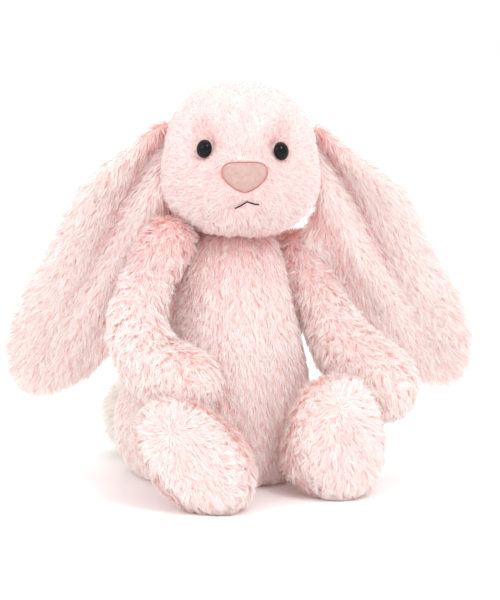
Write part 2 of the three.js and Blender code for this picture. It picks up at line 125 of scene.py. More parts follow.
def woven(name, dark, light, roughness, threads_per_mm, **values):
    """A plain weave: two crossed sets of threads as colour and relief."""
    material = plain(name, light, roughness, **values)
    tree = material.node_tree
    shader = tree.nodes["Principled BSDF"]
    place = tree.nodes.new("ShaderNodeTexCoord")
    waves = []
    for direction in ("X", "Z"):
        wave = tree.nodes.new("ShaderNodeTexWave")
        wave.bands_direction = direction
        wave.inputs["Scale"].default_value = threads_per_mm * 1000 / 20 * math.pi
        wave.inputs["Distortion"].default_value = 1.2
        tree.links.new(place.outputs["Object"], wave.inputs["Vector"])
        waves.append(wave)
    crossed = tree.nodes.new("ShaderNodeMath")
    crossed.operation = "MULTIPLY"
    tree.links.new(waves[0].outputs["Fac"], crossed.inputs[0])
    tree.links.new(waves[1].outputs["Fac"], crossed.inputs[1])
    ramp = tree.nodes.new("ShaderNodeValToRGB")
    ramp.color_ramp.elements[0].color = linear(*dark)
    ramp.color_ramp.elements[1].color = linear(*light)
    raised = tree.nodes.new("ShaderNodeBump")
    raised.inputs["Strength"].default_value = 0.5
    raised.inputs["Distance"].default_value = 0.0002
    tree.links.new(crossed.outputs[0], ramp.inputs["Fac"])
    tree.links.new(crossed.outputs[0], raised.inputs["Height"])
    tree.links.new(ramp.outputs["Color"], shader.inputs["Base Color"])
    tree.links.new(raised.outputs["Normal"], shader.inputs["Normal"])
    return material


# The deep, even and pale tones vary at random from tuft to tuft; the last and pinkest tone is painted
# shade for creases, folds, the brows and under the chin.
SHADES = {"deep": -6, "even": 0, "pale": 3, "blush": -36}  # change of green and blue


def fur_tones(name, root, middle, tip):
    """Plain materials for root, middle and tip, each in every shade, in that order."""
    tones = []
    for part_name, colour in (("root", root), ("middle", middle), ("tip", tip)):
        for shade, change in SHADES.items():
            tint = (colour[0] + change * 0.2, colour[1] + change, colour[2] + change)
            tint = [min(value, 254) for value in tint]
            tones.append(plain(f"{name}_{part_name}_{shade}", tint, 0.85, Specular_IOR_Level=0.1))
    return tones


# In every look below, the roots are a little deeper than the tips: painted shade down in the pile.
PINK = {
    "slot": "pink_plush",
    "fur": fur_tones("pink_plush", (251, 238, 235), (250, 243, 241), (248, 244, 242)),
    "skin": textured("pink_plush_backing", (250, 214, 207), (251, 226, 221), 0.95, 140, 2400),
}
BELLY = {
    "slot": "belly_plush",
    "fur": fur_tones("belly_plush", (250, 235, 232), (249, 240, 238), (247, 242, 240)),
    "skin": textured("belly_plush_backing", (250, 210, 203), (251, 224, 218), 0.95, 140, 2400),
}
FACE = {
    "slot": "pink_plush",
    "fur": fur_tones("face_plush", (247, 227, 225), (245, 232, 230), (244, 235, 233)),
    "skin": textured("face_plush_backing", (250, 216, 210), (253, 228, 224), 0.95, 160, 2600),
}
LINING = {
    "slot": "ear_lining_plush",
    "fur": fur_tones("ear_lining_plush", (252, 236, 232), (251, 242, 239), (249, 244, 242)),
    "skin": textured("ear_lining_backing", (251, 206, 198), (252, 220, 214), 0.95, 140, 2400),
}
CREAM = {
    "slot": "cream_plush",
    "fur": fur_tones("cream_plush", (249, 246, 241), (250, 248, 244), (251, 250, 247)),
    "skin": textured("cream_plush_backing", (244, 239, 231), (250, 246, 240), 0.95, 140, 2400),
}
NOSE_VELOUR = textured("nose_velour", (192, 159, 152), (204, 171, 163), 0.95, 420, 5200, depth=0.0002,
                       Specular_IOR_Level=0.05)
ROSE_THREAD = textured("rose_thread", (182, 108, 100), (208, 136, 126), 0.7, 900, 3800,
                       stretch=(1, 1, 0.35), depth=0.0003)
DARK_THREAD = textured("dark_thread", (12, 11, 13), (40, 37, 40), 0.6, 900, 3800, depth=0.0003)
PINK_THREAD = textured("pink_thread", (222, 150, 142), (244, 190, 182), 0.6, 900, 3800, depth=0.0003)
EYE_BLACK = textured("eye_plastic", (3, 2, 3), (12, 9, 10), 0.08, 90, 900, depth=0.00001,
                     Specular_IOR_Level=0.22)
WASHER = textured("washer_plastic", (226, 226, 222), (244, 244, 240), 0.45, 300, 900)
STUFFING = textured("stuffing", (236, 236, 234), (252, 252, 250), 0.98, 200, 1400)
PELLET_CLOTH = woven("pellet_bag", (206, 204, 198), (240, 238, 232), 0.9, 1.4)
RIBBON = woven("ribbon", (226, 222, 216), (252, 250, 246), 0.7, 2.2)
FLOOR = textured("floor", (252, 252, 252), (254, 254, 254), 0.9, 3, 60)


# ---------------------------------------------------------------- geometry helpers


def triangles_of(mesh):
    """Vertices and triangles of a mesh as arrays."""
    mesh.calc_loop_triangles()
    points = np.empty(len(mesh.vertices) * 3)
    mesh.vertices.foreach_get("co", points)
    corners = np.empty(len(mesh.loop_triangles) * 3, dtype=np.int32)
    mesh.loop_triangles.foreach_get("vertices", corners)
    return points.reshape(-1, 3), corners.reshape(-1, 3)


def world_copy(name):
    mesh = NODES[name].data.copy()
    mesh.transform(NODES[name].matrix_world)
    return mesh


def tree_of(name):
    points, corners = triangles_of(world_copy(name))
    return BVHTree.FromPolygons(points.tolist(), corners.tolist())


def new_object(name, mesh, materials):
    thing = bpy.data.objects.new(name, mesh)
    bpy.context.scene.collection.objects.link(thing)
    mesh.materials.clear()
    for material in materials:
        mesh.materials.append(material)
    return thing


def mesh_from(name, points, faces):
    mesh = bpy.data.meshes.new(name)
    mesh.from_pydata([tuple(p) for p in points], [], [tuple(f) for f in faces])
    mesh.update()
    return mesh


def shade_smooth(mesh):
    mesh.polygons.foreach_set("use_smooth", [True] * len(mesh.polygons))
    mesh.update()


def evaluated(thing):
    """The mesh with its modifiers applied. The helper object is removed."""
    graph = bpy.context.evaluated_depsgraph_get()
    mesh = bpy.data.meshes.new_from_object(thing.evaluated_get(graph))
    bpy.data.objects.remove(thing)
    return mesh


def soft_form(names, voxel, rounds):
    """One smooth closed mesh round the named CAD nodes."""
    build = bmesh.new()
    for name in names:
        build.from_mesh(world_copy(name))
    mesh = bpy.data.meshes.new("form")
    build.to_mesh(mesh)
    build.free()
    thing = new_object("form", mesh, [])
    remesh = thing.modifiers.new("remesh", "REMESH")
    remesh.mode = "VOXEL"
    remesh.voxel_size = voxel
    smooth = thing.modifiers.new("smooth", "SMOOTH")
    smooth.factor = 0.6
    smooth.iterations = rounds
    mesh = evaluated(thing)
    return keep_outer_shell(mesh)


def keep_outer_shell(mesh):
    """Removes inner islands, which come from the clearance between cover and filling."""
    build = bmesh.new()
    build.from_mesh(mesh)
    build.verts.ensure_lookup_table()
    seen = set()
    islands = []
    for start in build.verts:
        if start.index in seen:
            continue
        seen.add(start.index)
        island, frontier = [start], [start]
        while frontier:
            for edge in frontier.pop().link_edges:
                for other in edge.verts:
                    if other.index not in seen:
                        seen.add(other.index)
                        island.append(other)
                        frontier.append(other)
        islands.append(island)
    islands.sort(key=len)
    for island in islands[:-1]:
        bmesh.ops.delete(build, geom=island, context="VERTS")
    build.to_mesh(mesh)
    build.free()
    return mesh


def vertex_normals(mesh):
    normals = np.empty(len(mesh.vertices) * 3)
    mesh.vertex_normals.foreach_get("vector", normals)
    return normals.reshape(-1, 3)


def put_points(mesh, points):
    mesh.vertices.foreach_set("co", points.ravel())
    mesh.update()


def unit(rows):
    return rows / np.maximum(np.linalg.norm(rows, axis=-1, keepdims=True), 1e-9)


def span(points, place):
    """How far each point is from a place."""
    return np.linalg.norm(points - place, axis=1)


def near(distance, reach):
    """1 at no distance, fading smoothly to nothing about two reaches away."""
    return np.exp(-((distance / reach) ** 2))


def smooth_copy(node, name, material):
    """A rounded copy of a small CAD piece, standing for it."""
    thing = new_object(name, world_copy(node), [material])
    soften = thing.modifiers.new("soften", "SUBSURF")
    soften.levels = soften.render_levels = 1
    mesh = evaluated(thing)
    shade_smooth(mesh)
    thing = new_object(name, mesh, [material])
    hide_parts(node)
    return thing


# ---------------------------------------------------------------- covers with a seam between panels

SEAM_WIDTH = 0.0035
SKIN_FLOOR = 0.0003  # covers stay this far above the floor


def seam_distances(points, trees):
    """For each point: which panel is nearest, and how far it is from the next panel's border."""
    away = np.array([[tree.find_nearest(Vector(p))[3] for tree in trees] for p in points])
    nearest = away.argmin(axis=1)
    if len(trees) == 1:
        return nearest, np.full(len(points), 1.0)
    ordered = np.sort(away, axis=1)
    return nearest, ordered[:, 1] - ordered[:, 0]


def pull_seams_in(mesh, apart, depth, width):
    """Crowns the cover between its seams: points near a seam sink along their normals."""
    points, _ = triangles_of(mesh)
    sink = depth * near(apart, width)
    points = points - vertex_normals(mesh) * sink[:, None]
    points[:, 2] = np.maximum(points[:, 2], SKIN_FLOOR)
    put_points(mesh, points)


# ---------------------------------------------------------------- fur

SEGMENT_HEIGHTS = (0.0, 0.38, 0.72, 1.0)
SEGMENT_WIDTHS = (1.0, 0.9, 0.6)  # then the tip, which is a point
HAIR_FLOOR = 0.0002  # hairs stay this far above the floor
TUFT_SHADES = (0.25, 0.45, 0.3)  # chances of the deep, even and pale shades
STRAYS = 0.3  # share of the hairs whose shade isn't their tuft's


def scatter(points, corners, normals, density, random):
    """Random roots on the triangles, with smooth normals. Density is per square metre."""
    a, b, c = (points[corners[:, k]] for k in range(3))
    areas = np.linalg.norm(np.cross(b - a, c - a), axis=1) / 2
    wanted = int(areas.sum() * density)
    chosen = random.choice(len(corners), size=wanted, p=areas / areas.sum())
    first = np.sqrt(random.random(wanted))[:, None]
    second = random.random(wanted)[:, None]
    weights = (1 - first, first * (1 - second), first * second)
    roots = sum(w * points[corners[chosen, k]] for k, w in enumerate(weights))
    facing = unit(sum(w * normals[corners[chosen, k]] for k, w in enumerate(weights)))
    return roots, facing


def clumps(roots, share, random):
    """For each root, the tuft it belongs to: tuft centres are a thinned sample of the roots."""
    centres = max(8, int(len(roots) * share))
    picked = random.choice(len(roots), size=min(centres, len(roots)), replace=False)
    tree = KDTree(len(picked))
    for index, root in enumerate(roots[picked].tolist()):
        tree.insert(root, index)
    tree.balance()
    return np.array([tree.find(root)[1] for root in roots.tolist()]), roots[picked]


def curl(vectors, axes, angles):
    """Turns each vector about its axis (Rodrigues)."""
    cosines, sines = np.cos(angles)[:, None], np.sin(angles)[:, None]
    along = (vectors * axes).sum(axis=1, keepdims=True)
    return vectors * cosines + np.cross(axes, vectors) * sines + axes * along * (1 - cosines)


def fur(name, points, corners, normals, look, comb, style, seed):
    """A mesh of tapered hairs. comb(roots, normals) gives the lie of the pile, and style holds
    length, width, density, lift, tufts (tufts per hair), gather (how far hairs lean to the
    middle of their tuft) and wild (how far tufts turn off the lie, in radians). It may also hold
    keep (which roots grow a hair) and blush (each root's chance of the pinkest tone, which is painted
    shade)."""
    random = np.random.default_rng(seed)
    density = style["density"] * 1
    roots, facing = scatter(points, corners, normals, density, random)
    if "keep" in style:
        kept = style["keep"](roots, random)
        roots, facing = roots[kept], facing[kept]
    count = len(roots)
    tuft, centres = clumps(roots, style["tufts"], random)
    lie = comb(roots, facing)
    lie = unit(lie - facing * (lie * facing).sum(axis=1, keepdims=True))
    swing = random.normal(0, style["wild"], len(centres))[tuft] + random.normal(0, 0.18, count)
    lie = curl(lie, facing, swing)
    side = np.cross(facing, lie)
    length = style["length"](roots) * random.uniform(0.72, 1.12, count)
    length = (length * random.uniform(0.85, 1.15, len(centres))[tuft])[:, None]
    lift = style["lift"] * random.uniform(0.7, 1.25, len(centres))[tuft][:, None]
    lift = lift + random.normal(0, 0.07, count)[:, None]
    gather = (centres[tuft] - roots) * style["gather"]
    bend = side * random.normal(0, 0.09, count)[:, None] * length

    twist = random.uniform(-1.0, 1.0, count)
    blade = curl(side, lie, twist)
    hairs = np.empty((count, 7, 3))
    half = style["width"] / 2 * random.uniform(0.8, 1.2, count)[:, None]
    for level, height in enumerate(SEGMENT_HEIGHTS):
        rise = facing * length * lift * (height + 0.55 * height * (1 - height))
        run = lie * length * (0.45 * height + 0.5 * height**2)
        spine = roots + rise + run + gather * height**1.5 + bend * height**2
        if level == 3:
            hairs[:, 6] = spine
            continue
        hairs[:, 2 * level] = spine - blade * half * SEGMENT_WIDTHS[level]
        hairs[:, 2 * level + 1] = spine + blade * half * SEGMENT_WIDTHS[level]
    hairs[:, :, 2] = np.maximum(hairs[:, :, 2], HAIR_FLOOR)
    shade = random.choice(3, size=len(centres), p=TUFT_SHADES)[tuft]
    stray = random.random(count) < STRAYS
    shade[stray] = random.integers(0, 3, stray.sum())
    # Roots picked here get the pinkest tone, which is painted shade.
    if "blush" in style:
        shade[random.random(count) < style["blush"](roots)] = list(SHADES).index("blush")
    return hair_mesh(name, hairs, shade, look["fur"])


def hair_mesh(name, hairs, shade, tones):
    """Joins the hairs into one mesh: two quads and a tip each."""
    count = len(hairs)
    base = (np.arange(count) * 7)[:, None]
    loops = (base + np.array([1, 0, 2, 3, 3, 2, 4, 5, 5, 4, 6])[None, :]).ravel()
    starts = ((np.arange(count) * 11)[:, None] + np.array([0, 4, 8])[None, :]).ravel()
    sizes = np.tile([4, 4, 3], count)
    mesh = bpy.data.meshes.new(name)
    mesh.vertices.add(count * 7)
    mesh.vertices.foreach_set("co", hairs.ravel())
    mesh.loops.add(len(loops))
    mesh.loops.foreach_set("vertex_index", loops.astype(np.int32))
    mesh.polygons.add(len(starts))
    mesh.polygons.foreach_set("loop_start", starts.astype(np.int32))
    mesh.polygons.foreach_set("loop_total", sizes.astype(np.int32))
    mesh.polygons.foreach_set("use_smooth", np.ones(len(starts), dtype=bool))
    thing = new_object(name, mesh, tones)
    tone = (shade[:, None] + np.arange(3)[None, :] * len(SHADES)).ravel()
    mesh.polygons.foreach_set("material_index", tone.astype(np.int32))
    mesh.update(calc_edges=True)
    return thing


# ---------------------------------------------------------------- places on the rabbit


def centre_of(*names):
    """Middle of the box round some CAD nodes."""
    corners = [np.array(corner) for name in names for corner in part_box(name)]
    return (np.min(corners, axis=0) + np.max(corners, axis=0)) / 2


def pivot(joint):
    return np.array(JOINTS[joint]["pos_m"], dtype=float)


SIDES = ("left", "right")
HEAD = centre_of("head_filling")
HEAD_REACH = 0.036  # from the head's middle to its cover
NOSE = centre_of("nose_patch")
EYES = {side: centre_of(f"eye_{side}") for side in SIDES}
MOUTH = centre_of("mouth_stitch")
FORWARD = unit(np.array([*(NOSE - HEAD)[:2], 0]))
ACROSS = np.cross(FORWARD, UP)  # towards the rabbit's own right, the -X side


def away_from(centre):
    return lambda roots, facing: roots - centre


def toward(direction):
    return lambda roots, facing: np.tile(np.asarray(direction, dtype=float), (len(roots), 1))


def along_limb(side, kind):
    """Pile that runs from the joint to the far end of the limb."""
    start = pivot(f"{kind}_{side}_{'swing' if kind == 'arm' else 'spread'}")

    def lie(roots, facing):
        return unit(roots - start) - 0.5 * UP

    return lie


# ---------------------------------------------------------------- the soft pieces


def covered(body, panels, inner, look_of, comb_of, style_of, voxel, rounds, seam, shape=None):
    """Skin and fur for one stuffed body. Each panel gets its own skin piece and fur piece."""
    mesh = soft_form(panels + inner, voxel, rounds)
    trees = [tree_of(panel) for panel in panels]
    points, corners = triangles_of(mesh)
    nearest, _ = seam_distances(points[corners].mean(axis=1), trees)
    _, apart = seam_distances(points, trees)
    if shape:
        shape(mesh)
    pull_seams_in(mesh, apart, seam, SEAM_WIDTH)
    points, corners = triangles_of(mesh)
    normals = vertex_normals(mesh)
    for index, panel in enumerate(panels):
        own = corners[nearest == index]
        if len(own) == 0:
            continue
        used, remapped = np.unique(own, return_inverse=True)
        cover = mesh_from(f"{panel}_skin", points[used], remapped.reshape(-1, 3))
        shade_smooth(cover)
        look = look_of(panel)
        skin = new_object(f"{panel}_skin", cover, [look["skin"]])
        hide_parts(panel)
        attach(skin, body)
        pile = fur(f"{panel}_fur", points, own, normals, look, comb_of(panel), style_of(panel),
                   seed=len(panel) * 101 + index * 17 + len(body))
        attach(pile, body)


def fixed(length):
    return lambda roots: np.full(len(roots), length)


def coat(**changes):
    """The usual long pile, with changes."""
    style = {
        "length": fixed(0.0072), "width": 0.00030, "density": 3.9e6, "lift": 0.42,
        "tufts": 0.075, "gather": 0.26, "wild": 0.36,
    }
    style.update(changes)
    return style


def eye_span(roots):
    """How far each root is from the nearer eye."""
    return np.minimum(*(span(roots, EYES[side]) for side in SIDES))


def face_length(roots):
    """Very short pile on the brow and crown, longer on the cheeks, chin and back, and shortest of
    all round the eyes, nose and mouth."""
    back_pile, brow_pile, chin_extra, crown_cut = 0.0062, 0.0025, 0.0036, 0.4
    front = np.clip((roots - HEAD) @ FORWARD / HEAD_REACH * 1.2 + 0.9, 0, 1)
    low = np.clip((HEAD[2] - roots[:, 2]) / 0.03 + 0.25, 0, 1)
    crown = np.clip((roots[:, 2] - HEAD[2] - 0.012) / 0.02, 0, 1)
    length = back_pile * (1 - front) + (brow_pile + chin_extra * low) * front
    length = length * (1 - crown_cut * crown)
    for away, reach, least, edge, growth in (
        (span(roots, MOUTH), 0.009, 0.0016, 0.004, 0.25),
        (span(roots, NOSE), 0.018, 0.0016, 0.009, 0.16),
        (eye_span(roots), 0.012, 0.0012, 0.0045, 0.22),
    ):
        limit = least + growth * np.maximum(away - edge, 0)
        length = np.where(away < reach, np.minimum(length, limit), length)
    return length


def face_clear(roots, random):
    """No hairs under the eyes or the nose patch."""
    under_eye, nose_top, nose_half_width, nose_drop = 0.0046, 0.0056, 0.0105, 0.0095
    beside = (roots - NOSE) @ ACROSS
    above = roots[:, 2] - NOSE[2]
    front = (roots - HEAD) @ FORWARD > 0.02
    width = nose_half_width * np.clip((above + nose_drop) / 0.011, 0, 1)
    on_nose = (np.abs(beside) < width) & (above < nose_top) & front
    return (eye_span(roots) > under_eye) & ~on_nose


def face_comb(roots, facing):
    """The pile runs back from the nose, and turns round the eyes."""
    flow = unit(roots - NOSE)
    for side in SIDES:
        by_eye = near(span(roots, EYES[side]), 0.011)[:, None]
        flow = flow * (1 - by_eye) + unit(roots - EYES[side]) * by_eye
    return flow - 0.15 * UP


def build_head():
    panels = ["head_gusset", "head_left_panel", "head_right_panel"]
    style = coat(length=face_length, width=0.00026, density=5.8e6, lift=0.30, tufts=0.05,
                 gather=0.25, wild=0.36, keep=face_clear, blush=face_blush)
    covered("head", panels, ["head_filling"], lambda p: FACE, lambda p: face_comb, lambda p: style,
            voxel=0.0018, rounds=12, seam=0.0006, shape=shape_head)


def brow_span(points, side):
    """How far points are from the crease that runs up and outwards from the eye."""
    outwards = ACROSS if side == "right" else -ACROSS
    start = EYES[side] + UP * 0.004
    crease = UP * 0.0095 + outwards * 0.003 - FORWARD * 0.003
    along = np.clip((points - start) @ crease / (crease @ crease), 0, 1)
    return np.linalg.norm(points - start - along[:, None] * crease, axis=1)


def face_blush(roots):
    """Painted shade: pinker by the eyes, in the brow creases, round the nose and under the chin, and a
    little anywhere.
    """
    by_nose, by_eye, in_brow, on_chin, elsewhere = 0.3, 0.6, 0.95, 0.5, 0.03
    nose_border = 0.011
    deep = by_nose * near(span(roots, NOSE) - nose_border, 0.004)
    for side in SIDES:
        deep = np.maximum(deep, by_eye * near(span(roots, EYES[side]), 0.006))
        deep = np.maximum(deep, in_brow * near(brow_span(roots, side), 0.0038))
    chin = np.clip((HEAD[2] - 0.026 - roots[:, 2]) / 0.01, 0, 1)
    return np.clip(np.maximum(deep, on_chin * chin) + elsewhere, 0, 1)


def fill_head(mesh):
    """Widens the crown and cheeks and raises the crown."""
    crown_wider, cheeks_wider, crown_rise = 0.15, 0.03, 0.0042
    points, _ = triangles_of(mesh)
    high = np.clip((points[:, 2] - HEAD[2] + 0.004) / HEAD_REACH, 0, 1.1)
    cheek = near(points[:, 2] - HEAD[2] + 0.010, 0.014)
    wider = 1 + crown_wider * high**2 + cheeks_wider * cheek
    points[:, 0] = HEAD[0] + (points[:, 0] - HEAD[0]) * wider
    middle = np.clip(1 - ((points[:, 0] - HEAD[0]) / 0.034) ** 2, 0, 1)
    points[:, 2] += crown_rise * np.clip(high, 0, 1) ** 2 * middle
    put_points(mesh, points)


def shape_head(mesh):
    """Fills the head, sinks the eyes with a crease above each, and creases the mouth."""
    eye_depth, brow_depth, mouth_depth = 0.0026, 0.0030, 0.0016
    fill_head(mesh)
    points, _ = triangles_of(mesh)
    sink = np.zeros(len(points))
    for side in SIDES:
        sink += eye_depth * near(span(points, EYES[side]), 0.0065)
        sink += brow_depth * near(brow_span(points, side), 0.0042)
    aside = np.abs((points - MOUTH) @ ACROSS)
    above = points[:, 2] - MOUTH[2]
    front = (points - HEAD) @ FORWARD > 0.02
    sink += mouth_depth * near(above + 0.35 * aside, 0.0022) * near(aside, 0.014) * front
    put_points(mesh, points - vertex_normals(mesh) * sink[:, None])


def spread_seat(mesh):
    """The seat sags out sideways under the pellets, and the shoulders fill up to the head."""
    seat_height, shoulder_height, neck_height = 0.026, 0.118, 0.108
    right_sag, left_sag, right_shoulder, neck_rise = 0.0025, 0.002, 0.0065, 0.0055
    points, _ = triangles_of(mesh)
    middle = centre_of("pellet_bag")
    sag = np.where(points[:, 0] < middle[0], -right_sag, left_sag)
    low = near(points[:, 2] - seat_height, 0.026)
    points[:, 0] += sag * low * np.clip(np.abs(points[:, 0] - middle[0]) / 0.03, 0, 1)
    shoulder = near(points[:, 2] - shoulder_height, 0.018)
    points[:, 0] += np.clip((points[:, 0] - HEAD[0]) / 0.012, -1, 0) * right_shoulder * shoulder
    points[:, 2] += neck_rise * np.clip((points[:, 2] - neck_height) / 0.016, 0, 1)
    put_points(mesh, points)


def droop_tail(mesh):
    """The tail flops a little down and to the rabbit's right."""
    droop = np.array([-0.0045, 0, -0.005])
    points, _ = triangles_of(mesh)
    put_points(mesh, points + droop + vertex_normals(mesh) * 0.001)


def build_torso():
    names = ["torso_front_left_panel", "torso_back_left_panel", "torso_front_right_panel",
             "torso_back_right_panel"]
    seam_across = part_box("torso_front_left_panel")[0][0]

    # Painted shade: the pinkest tone by the limbs and under the chin, and along the sunk front seam.
    def blush(roots):
        seam = (roots[:, 1] < 0) * near(roots[:, 0] - seam_across, 0.0009)
        return np.clip(crevice_shade(roots) + 0.5 * seam, 0, 1)

    style = coat(length=fixed(0.0054), lift=0.34, density=4.6e6, wild=0.26, blush=blush)
    covered("torso", names, ["torso_filling", "pellet_bag"], lambda p: BELLY if "front" in p else PINK,
            lambda p: toward((0, 0, -1)), lambda p: style, voxel=0.0025, rounds=14, seam=0.0014,
            shape=spread_seat)
    style = coat(length=fixed(0.0095), lift=0.6, density=4.0e6, wild=0.6)
    covered("torso", ["tail_cover"], ["tail_filling"], lambda p: CREAM,
            lambda p: away_from(centre_of("torso_filling")), lambda p: style,
            voxel=0.002, rounds=6, seam=0.0, shape=droop_tail)


def crevice_shade(roots):
    """Painted shade: the pinkest tone more often where the limbs press on the torso and under the chin,
    and a little anywhere.
    """
    close = np.zeros(len(roots))
    for joint in ("arm_left_swing", "arm_right_swing", "leg_left_spread", "leg_right_spread", "neck_turn"):
        close = np.maximum(close, near(span(roots, pivot(joint)), 0.026))
    return 0.02 + 0.5 * close


def swell(mesh, amounts):
    """Moves every point outwards by its own amount."""
    points, _ = triangles_of(mesh)
    amount = np.broadcast_to(amounts(points), len(points))
    put_points(mesh, points + vertex_normals(mesh) * amount[:, None])


ARM_REACH = 0.075  # from the shoulder to the paw


def shape_arm(side):
    """The arm is fuller towards the paw, and slimmer at a waist further up."""
    start = pivot(f"arm_{side}_swing")
    more, less, waist = (0.0028, 0.0024, 0.5) if side == "left" else (0.0016, 0.0028, 0.35)

    def amounts(points):
        share = np.clip(span(points, start) / ARM_REACH, 0, 1)
        return 0.0006 + more * share**2 - less * near(share - waist, 0.28)

    return lambda mesh: swell(mesh, amounts)


def build_arm(side):
    panels = [f"arm_{side}_outer_panel", f"arm_{side}_inner_panel"]
    style = coat(length=fixed(0.0062), lift=0.5, wild=0.55, density=4.4e6, blush=crevice_shade)
    covered(f"arm_{side}", panels, [f"arm_{side}_filling"], lambda p: PINK,
            lambda p: along_limb(side, "arm"), lambda p: style, voxel=0.002, rounds=10, seam=0.0008,
            shape=shape_arm(side))


def plump_foot(mesh):
    """The left foot bulges behind its sole, most of all towards the torso."""
    inner_bulge, outer_bulge = 0.007, 0.003
    points, _ = triangles_of(mesh)
    normals = vertex_normals(mesh)
    off_floor = np.clip((points[:, 2] - 0.001) / 0.012, 0, 1)
    inward = np.clip(-normals[:, 0], 0, 1) * off_floor
    outward = np.clip(normals[:, 0], 0, 1) * off_floor
    points[:, 0] += outer_bulge * outward - inner_bulge * inward
    put_points(mesh, points)


def build_leg(side):
    sole = f"foot_{side}_sole"
    panels = [f"leg_{side}_outer_panel", f"leg_{side}_inner_panel", sole]
    low, high = (np.array(corner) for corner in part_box(sole))
    swirl = (low + high) / 2 + np.array([-0.2, 0, 0.25]) * (high - low)
    style = coat(length=fixed(0.0062), lift=0.44, wild=0.5, density=4.4e6, blush=crevice_shade)
    short = coat(length=fixed(0.0052), lift=0.36, wild=0.4, density=5.0e6)
    covered(f"leg_{side}", panels, [f"leg_{side}_filling"], lambda p: BELLY if p == sole else PINK,
            lambda p: away_from(swirl) if p == sole else along_limb(side, "leg"),
            lambda p: short if p == sole else style, voxel=0.002, rounds=8, seam=0.0012,
            shape=plump_foot if side == "left" else lambda mesh: swell(mesh, lambda points: 0.0018))


def ear_frame(side):
    """Where the ear is sewn on, the way it hangs, its breadth and the way it faces."""
    root = pivot(f"ear_{side}_lift")
    points, _ = triangles_of(world_copy(f"ear_{side}_back"))
    tip = points[np.argmax(span(points, root))]
    hang = unit(tip - root)
    spread = points - root
    spread = spread - np.outer(spread @ hang, hang)
    _, _, axes = np.linalg.svd(spread - spread.mean(axis=0), full_matrices=False)
    across = axes[0] * np.sign(axes[0][0]) * (1 if side == "left" else -1)
    return root, hang, unit(across), unit(np.cross(hang, across))


EAR_FOLD_REACH = 0.085  # the folds fade out about this far down the ear
EAR_VALLEY = 0.002  # the valley's place across the ear
EAR_INNER_EDGE = -0.018  # the place across the ear where it turns in behind the head


def shape_ear(side):
    """Folds the ear: two ridges and the valley between them start at the root and open out down
    the ear. It also widens the ear below its root, and makes the left one a little longer."""
    ridge_height, valley_depth, ripple = 0.0085, 0.0060, 0.0018
    inner_wider, outer_wider = 0.55, 0.35
    longer = 1.08 if side == "left" else 1.0
    root, hang, across, front = ear_frame(side)
    if front[1] > 0:
        front = -front

    def shape(mesh):
        points, _ = triangles_of(mesh)
        down = (points - root) @ hang
        over = (points - root) @ across
        fade = near(down, EAR_FOLD_REACH)
        ridge = near(over + 0.007, 0.006) + 0.8 * near(over - 0.018, 0.010)
        valley = near(over - EAR_VALLEY, 0.0045)
        wave = ripple * np.sin(down / 0.011 + over / 0.016)
        push = fade * (ridge_height * ridge - valley_depth * valley) + wave * (1 - fade)
        inner = np.minimum(over, 0) * inner_wider * near(down - 0.04, 0.035)
        outer = np.maximum(over, 0) * outer_wider * near(down - 0.03, 0.032)
        at_root = near(down, 0.022)
        points = points + front * push[:, None]
        points = points + across * (inner + outer - 0.0045 * at_root)[:, None]
        points = points + hang * ((longer - 1) * down - 0.0050 * at_root)[:, None]
        put_points(mesh, points)

    return shape


def build_ear(side):
    root, hang, across, _ = ear_frame(side)
    panels = [f"ear_{side}_lining", f"ear_{side}_back"]

    def comb(roots, facing):
        over = ((roots - root) @ across)[:, None]
        return hang + across * over / 0.035 * 0.7

    # Painted shade: the pinkest tone along the valley and the inner edge where the ear folds, fading down
    # the ear, and a little anywhere.
    def fold(roots):
        down = (roots - root) @ hang
        over = (roots - root) @ across
        creases = near(over - EAR_VALLEY, 0.004) + near(over - EAR_INNER_EDGE, 0.005)
        return 0.04 + 0.8 * near(down, EAR_FOLD_REACH) * np.minimum(creases, 1)

    style = coat(length=fixed(0.0070), lift=0.42, wild=0.34, blush=fold)
    covered(f"ear_{side}", panels, [], lambda p: LINING if "lining" in p else PINK,
            lambda p: comb, lambda p: style, voxel=0.0014, rounds=8, seam=0.0,
            shape=shape_ear(side))


# ---------------------------------------------------------------- face details


def dome(name, centre, outward, half_width, half_height, depth, material):
    """A glossy eye: an oval dome that looks along outward and stands upright."""
    bm = bmesh.new()
    bmesh.ops.create_uvsphere(bm, u_segments=40, v_segments=24, radius=1.0)
    mesh = bpy.data.meshes.new(name)
    bm.to_mesh(mesh)
    bm.free()
    ahead = unit(np.array(outward, dtype=float))
    sideways = unit(np.cross(UP, ahead))
    upright = np.cross(ahead, sideways)
    axes = Matrix((sideways * half_width, upright * half_height, ahead * depth)).transposed().to_4x4()
    mesh.transform(Matrix.Translation(Vector(centre)) @ axes)
    shade_smooth(mesh)
    return new_object(name, mesh, [material])


def build_eye(side):
    half_width, half_height, depth, proud = 0.0040, 0.0046, 0.0032, 0.0004
    points, _ = triangles_of(world_copy(f"eye_{side}"))
    outward = unit(EYES[side] - HEAD)
    reach = (points - HEAD) @ outward
    top = points[reach > reach.max() - 0.0012].mean(axis=0)
    centre = top - outward * (depth + proud)
    eye = dome(f"eye_{side}_dome", centre, outward, half_width, half_height, depth, EYE_BLACK)
    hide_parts(f"eye_{side}")
    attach(eye, "head")


# The mouth's apex, left end and right end, as places across and above the nose's middle.
MOUTH_POINTS = ((0.0014, -0.0137), (0.0072, -0.0153), (-0.0045, -0.0172))


def face_surface():
    """The head's skin as a tree, for laying the nose and mouth on it."""
    points, corners = [], []
    for panel in ("head_gusset", "head_left_panel", "head_right_panel"):
        found, faces = triangles_of(bpy.data.objects[f"{panel}_skin"].data)
        corners += (faces + len(points)).tolist()
        points += found.tolist()
    return BVHTree.FromPolygons(points, corners)


